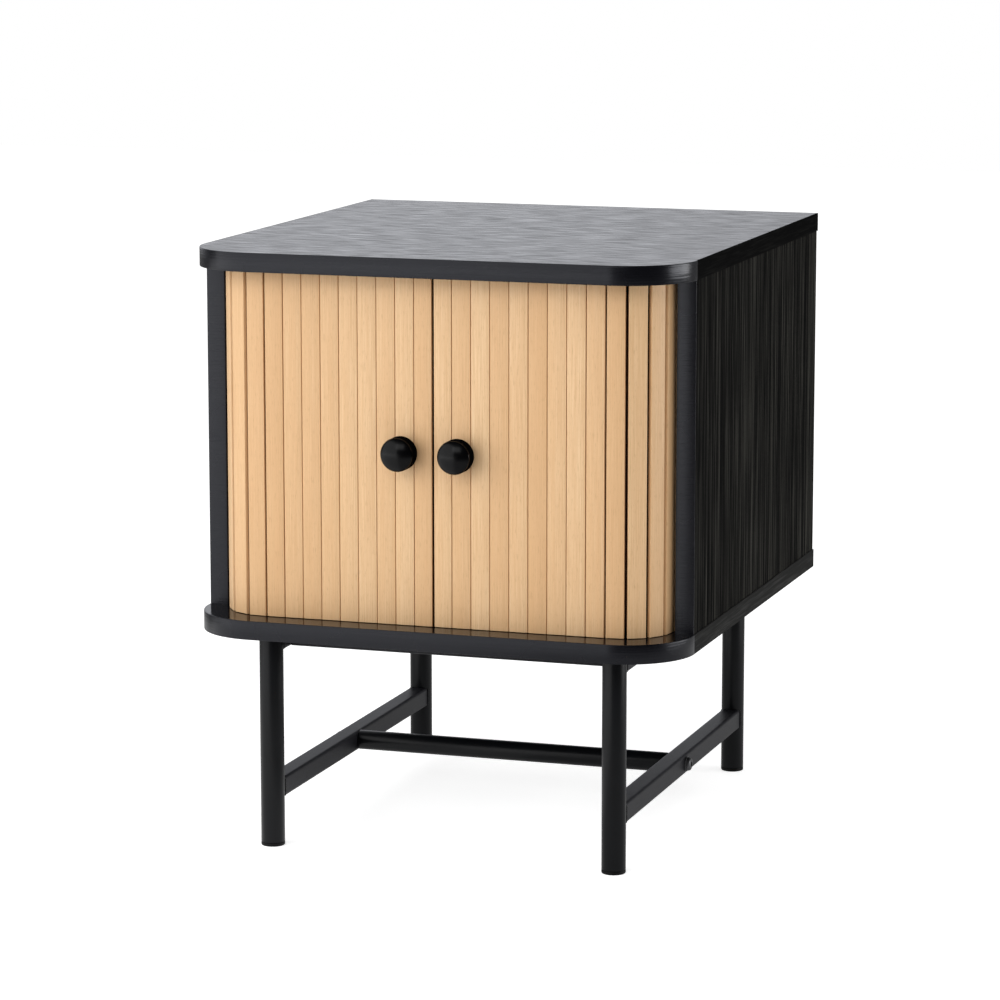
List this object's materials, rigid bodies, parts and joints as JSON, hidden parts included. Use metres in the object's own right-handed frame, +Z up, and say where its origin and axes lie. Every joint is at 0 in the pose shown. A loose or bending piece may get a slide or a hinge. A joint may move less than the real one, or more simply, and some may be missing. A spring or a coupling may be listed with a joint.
{
  "type": "nightstand",
  "caption": "Bedside table with two sliding tambour doors of pale wood slats in a black woodgrain cabinet with rounded front corners, on a round-legged black steel tube frame.",
  "frame": {"origin": "on the floor plane z=0, under the centre of the top board's outline", "axes": "+X to the right seen from the front, +Y to the back, +Z up; the doors face -Y"},
  "size_m": [0.4, 0.442, 0.476],
  "materials": {
    "black_woodgrain_board": "laminated board with brushed black woodgrain",
    "black_edge_band": "smooth dark edge banding",
    "black_inner_board": "plain black laminated board",
    "oak_slats": "pale oak slats, clear satin lacquer",
    "brown_canvas": "woven canvas backing",
    "black_gloss_knob": "glossy black",
    "black_powder_coated_steel": "satin black powder coat",
    "black_plastic": "matt black moulded plastic",
    "black_oxide_steel": "black oxide",
    "zinc_steel": "zinc plated",
    "zinc_diecast": "plain zinc die casting",
    "beech_dowel": "raw beech"
  },
  "bodies": {
    "cabinet": {"top_panel": "black_woodgrain_board", "bottom_panel": "black_woodgrain_board", "top_edge_band": "black_edge_band", "bottom_edge_band": "black_edge_band", "left_side_panel": "black_woodgrain_board", "right_side_panel": "black_woodgrain_board", "left_front_band": "black_edge_band", "right_front_band": "black_edge_band", "back_panel": "black_inner_board", "left_inner_panel": "black_inner_board", "right_inner_panel": "black_inner_board", "shelf": "black_inner_board", "shelf_pins": "zinc_steel", "panel_dowels": "beech_dowel", "cam_locks": "zinc_diecast", "front_left_leg": "black_powder_coated_steel", "front_right_leg": "black_powder_coated_steel", "rear_left_leg": "black_powder_coated_steel", "rear_right_leg": "black_powder_coated_steel", "left_stretcher": "black_powder_coated_steel", "right_stretcher": "black_powder_coated_steel", "left_top_rail": "black_powder_coated_steel", "right_top_rail": "black_powder_coated_steel", "front_top_rail": "black_powder_coated_steel", "cross_rail": "black_powder_coated_steel", "cross_rail_bolts": "black_oxide_steel", "washers": "black_oxide_steel", "foot_caps": "black_plastic", "frame_screws": "zinc_steel"},
    "left_lead": {"left_lead_slats": "oak_slats", "left_lead_canvas": "brown_canvas", "left_knob": "black_gloss_knob", "left_knob_screw": "zinc_steel"},
    "right_lead": {"right_lead_slats": "oak_slats", "right_lead_canvas": "brown_canvas", "right_knob": "black_gloss_knob", "right_knob_screw": "zinc_steel"},
    "left_slat_4": {"left_slat_4": "oak_slats"},
    "left_slat_5": {"left_slat_5": "oak_slats"},
    "left_slat_6": {"left_slat_6": "oak_slats"},
    "left_slat_7": {"left_slat_7": "oak_slats"},
    "left_slats_8_9": {"left_slats_8_9": "oak_slats"},
    "left_slat_10": {"left_slat_10": "oak_slats"},
    "left_slat_11": {"left_slat_11": "oak_slats"},
    "left_slat_12": {"left_slat_12": "oak_slats"},
    "left_slat_13": {"left_slat_13": "oak_slats"},
    "left_tail": {"left_tail_slats": "oak_slats", "left_tail_canvas": "brown_canvas"},
    "right_slat_4": {"right_slat_4": "oak_slats"},
    "right_slat_5": {"right_slat_5": "oak_slats"},
    "right_slat_6": {"right_slat_6": "oak_slats"},
    "right_slat_7": {"right_slat_7": "oak_slats"},
    "right_slats_8_9": {"right_slats_8_9": "oak_slats"},
    "right_slat_10": {"right_slat_10": "oak_slats"},
    "right_slat_11": {"right_slat_11": "oak_slats"},
    "right_slat_12": {"right_slat_12": "oak_slats"},
    "right_slat_13": {"right_slat_13": "oak_slats"},
    "right_tail": {"right_tail_slats": "oak_slats", "right_tail_canvas": "brown_canvas"}
  },
  "joints": [
    {"name": "left_door_slide", "type": "slide", "parent": "cabinet", "child": "left_lead", "axis": [-1, 0, 0], "range_m": [0, 0.0918]},
    {"name": "right_door_slide", "type": "slide", "parent": "cabinet", "child": "right_lead", "axis": [1, 0, 0], "range_m": [0, 0.0918]},
    {"name": "left_slat_4_turn", "type": "hinge", "parent": "cabinet", "child": "left_slat_4", "pos_m": [-0.09182, 0.76083, 0.3245], "axis": [0, 0, -1], "range_deg": [0, 5.51]},
    {"name": "left_slat_5_turn", "type": "hinge", "parent": "cabinet", "child": "left_slat_5", "pos_m": [-0.10431, -0.01986, 0.3245], "axis": [0, 0, -1], "range_deg": [0, 29.75]},
    {"name": "left_slat_6_turn", "type": "hinge", "parent": "cabinet", "child": "left_slat_6", "pos_m": [-0.11276, -0.10355, 0.3245], "axis": [0, 0, -1], "range_deg": [0, 55.54]},
    {"name": "left_slat_7_turn", "type": "hinge", "parent": "cabinet", "child": "left_slat_7", "pos_m": [-0.12065, -0.13378, 0.3245], "axis": [0, 0, -1], "range_deg": [0, 80.98]},
    {"name": "left_slats_8_9_turn", "type": "hinge", "parent": "cabinet", "child": "left_slats_8_9", "pos_m": [-0.1238, -0.1398, 0.3245], "axis": [0, 0, -1], "range_deg": [0, 90]},
    {"name": "left_slat_10_turn", "type": "hinge", "parent": "cabinet", "child": "left_slat_10", "pos_m": [-0.12039, -0.1378, 0.3245], "axis": [0, 0, -1], "range_deg": [0, 84.49]},
    {"name": "left_slat_11_turn", "type": "hinge", "parent": "cabinet", "child": "left_slat_11", "pos_m": [-0.09513, -0.13024, 0.3245], "axis": [0, 0, -1], "range_deg": [0, 60.25]},
    {"name": "left_slat_12_turn", "type": "hinge", "parent": "cabinet", "child": "left_slat_12", "pos_m": [-0.0284, -0.12194, 0.3245], "axis": [0, 0, -1], "range_deg": [0, 34.46]},
    {"name": "left_slat_13_turn", "type": "hinge", "parent": "cabinet", "child": "left_slat_13", "pos_m": [0.40455, -0.11063, 0.3245], "axis": [0, 0, -1], "range_deg": [0, 9.02]},
    {"name": "left_tail_slide", "type": "slide", "parent": "cabinet", "child": "left_tail", "axis": [0, 1, 0], "range_m": [0, 0.0918]},
    {"name": "right_slat_4_turn", "type": "hinge", "parent": "cabinet", "child": "right_slat_4", "pos_m": [0.09182, 0.76083, 0.3245], "axis": [0, 0, 1], "range_deg": [0, 5.51]},
    {"name": "right_slat_5_turn", "type": "hinge", "parent": "cabinet", "child": "right_slat_5", "pos_m": [0.10431, -0.01986, 0.3245], "axis": [0, 0, 1], "range_deg": [0, 29.75]},
    {"name": "right_slat_6_turn", "type": "hinge", "parent": "cabinet", "child": "right_slat_6", "pos_m": [0.11276, -0.10355, 0.3245], "axis": [0, 0, 1], "range_deg": [0, 55.54]},
    {"name": "right_slat_7_turn", "type": "hinge", "parent": "cabinet", "child": "right_slat_7", "pos_m": [0.12065, -0.13378, 0.3245], "axis": [0, 0, 1], "range_deg": [0, 80.98]},
    {"name": "right_slats_8_9_turn", "type": "hinge", "parent": "cabinet", "child": "right_slats_8_9", "pos_m": [0.1238, -0.1398, 0.3245], "axis": [0, 0, 1], "range_deg": [0, 90]},
    {"name": "right_slat_10_turn", "type": "hinge", "parent": "cabinet", "child": "right_slat_10", "pos_m": [0.12039, -0.1378, 0.3245], "axis": [0, 0, 1], "range_deg": [0, 84.49]},
    {"name": "right_slat_11_turn", "type": "hinge", "parent": "cabinet", "child": "right_slat_11", "pos_m": [0.09513, -0.13024, 0.3245], "axis": [0, 0, 1], "range_deg": [0, 60.25]},
    {"name": "right_slat_12_turn", "type": "hinge", "parent": "cabinet", "child": "right_slat_12", "pos_m": [0.0284, -0.12194, 0.3245], "axis": [0, 0, 1], "range_deg": [0, 34.46]},
    {"name": "right_slat_13_turn", "type": "hinge", "parent": "cabinet", "child": "right_slat_13", "pos_m": [-0.40455, -0.11063, 0.3245], "axis": [0, 0, 1], "range_deg": [0, 9.02]},
    {"name": "right_tail_slide", "type": "slide", "parent": "cabinet", "child": "right_tail", "axis": [0, 1, 0], "range_m": [0, 0.0918]}
  ],
  "couplings": [
    {"joint": "left_slat_4_turn", "follows": "left_door_slide", "rad_per_m": 1.0472},
    {"joint": "left_slat_5_turn", "follows": "left_door_slide", "rad_per_m": 5.6565},
    {"joint": "left_slat_6_turn", "follows": "left_door_slide", "rad_per_m": 10.558},
    {"joint": "left_slat_7_turn", "follows": "left_door_slide", "rad_per_m": 15.396},
    {"joint": "left_slats_8_9_turn", "follows": "left_door_slide", "rad_per_m": 17.11},
    {"joint": "left_slat_10_turn", "follows": "left_door_slide", "rad_per_m": 16.063},
    {"joint": "left_slat_11_turn", "follows": "left_door_slide", "rad_per_m": 11.454},
    {"joint": "left_slat_12_turn", "follows": "left_door_slide", "rad_per_m": 6.552},
    {"joint": "left_slat_13_turn", "follows": "left_door_slide", "rad_per_m": 1.7149},
    {"joint": "left_tail_slide", "follows": "left_door_slide", "ratio": 1},
    {"joint": "right_slat_4_turn", "follows": "right_door_slide", "rad_per_m": 1.0472},
    {"joint": "right_slat_5_turn", "follows": "right_door_slide", "rad_per_m": 5.6565},
    {"joint": "right_slat_6_turn", "follows": "right_door_slide", "rad_per_m": 10.558},
    {"joint": "right_slat_7_turn", "follows": "right_door_slide", "rad_per_m": 15.396},
    {"joint": "right_slats_8_9_turn", "follows": "right_door_slide", "rad_per_m": 17.11},
    {"joint": "right_slat_10_turn", "follows": "right_door_slide", "rad_per_m": 16.063},
    {"joint": "right_slat_11_turn", "follows": "right_door_slide", "rad_per_m": 11.454},
    {"joint": "right_slat_12_turn", "follows": "right_door_slide", "rad_per_m": 6.552},
    {"joint": "right_slat_13_turn", "follows": "right_door_slide", "rad_per_m": 1.7149},
    {"joint": "right_tail_slide", "follows": "right_door_slide", "ratio": 1}
  ]
}
